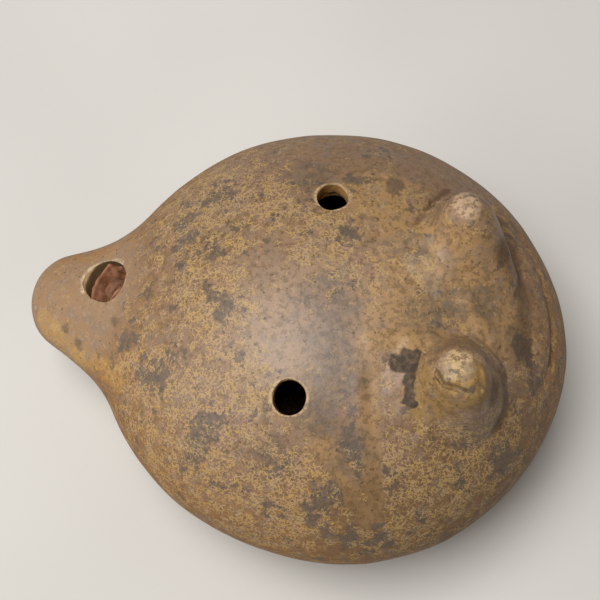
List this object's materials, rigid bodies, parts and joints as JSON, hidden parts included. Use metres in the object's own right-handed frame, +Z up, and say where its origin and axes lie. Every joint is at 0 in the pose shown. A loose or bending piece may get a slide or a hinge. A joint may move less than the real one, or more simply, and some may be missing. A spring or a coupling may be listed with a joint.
{
  "type": "vessel flute",
  "caption": "Hand-built clay vessel flute: round hollow body, short beak mouthpiece with a voicing window, finger holes on the back and blunt knobs behind them.",
  "frame": {"origin": "middle of the bounding box in plan, at the level of the flat resting patch under the belly", "axes": "+X from the mouthpiece tip to the rear of the body, +Z up away from the resting patch, +Y completes the right-handed frame"},
  "size_m": [0.0999, 0.081, 0.06],
  "materials": {
    "burnished_clay": "satin",
    "worn_clay": "satin",
    "raw_clay": "matte",
    "red_clay": "satin"
  },
  "bodies": {
    "root": {"upper_shell": "burnished_clay", "lower_shell": "burnished_clay", "rear_seam_strip": "burnished_clay", "mouthpiece": "burnished_clay", "knob_far": "worn_clay", "knob_near": "worn_clay", "knob_far_coil": "burnished_clay", "knob_near_coil": "burnished_clay", "inner_seam_coil": "raw_clay", "inner_neck_coil": "raw_clay", "windway_block": "red_clay"}
  },
  "joints": []
}
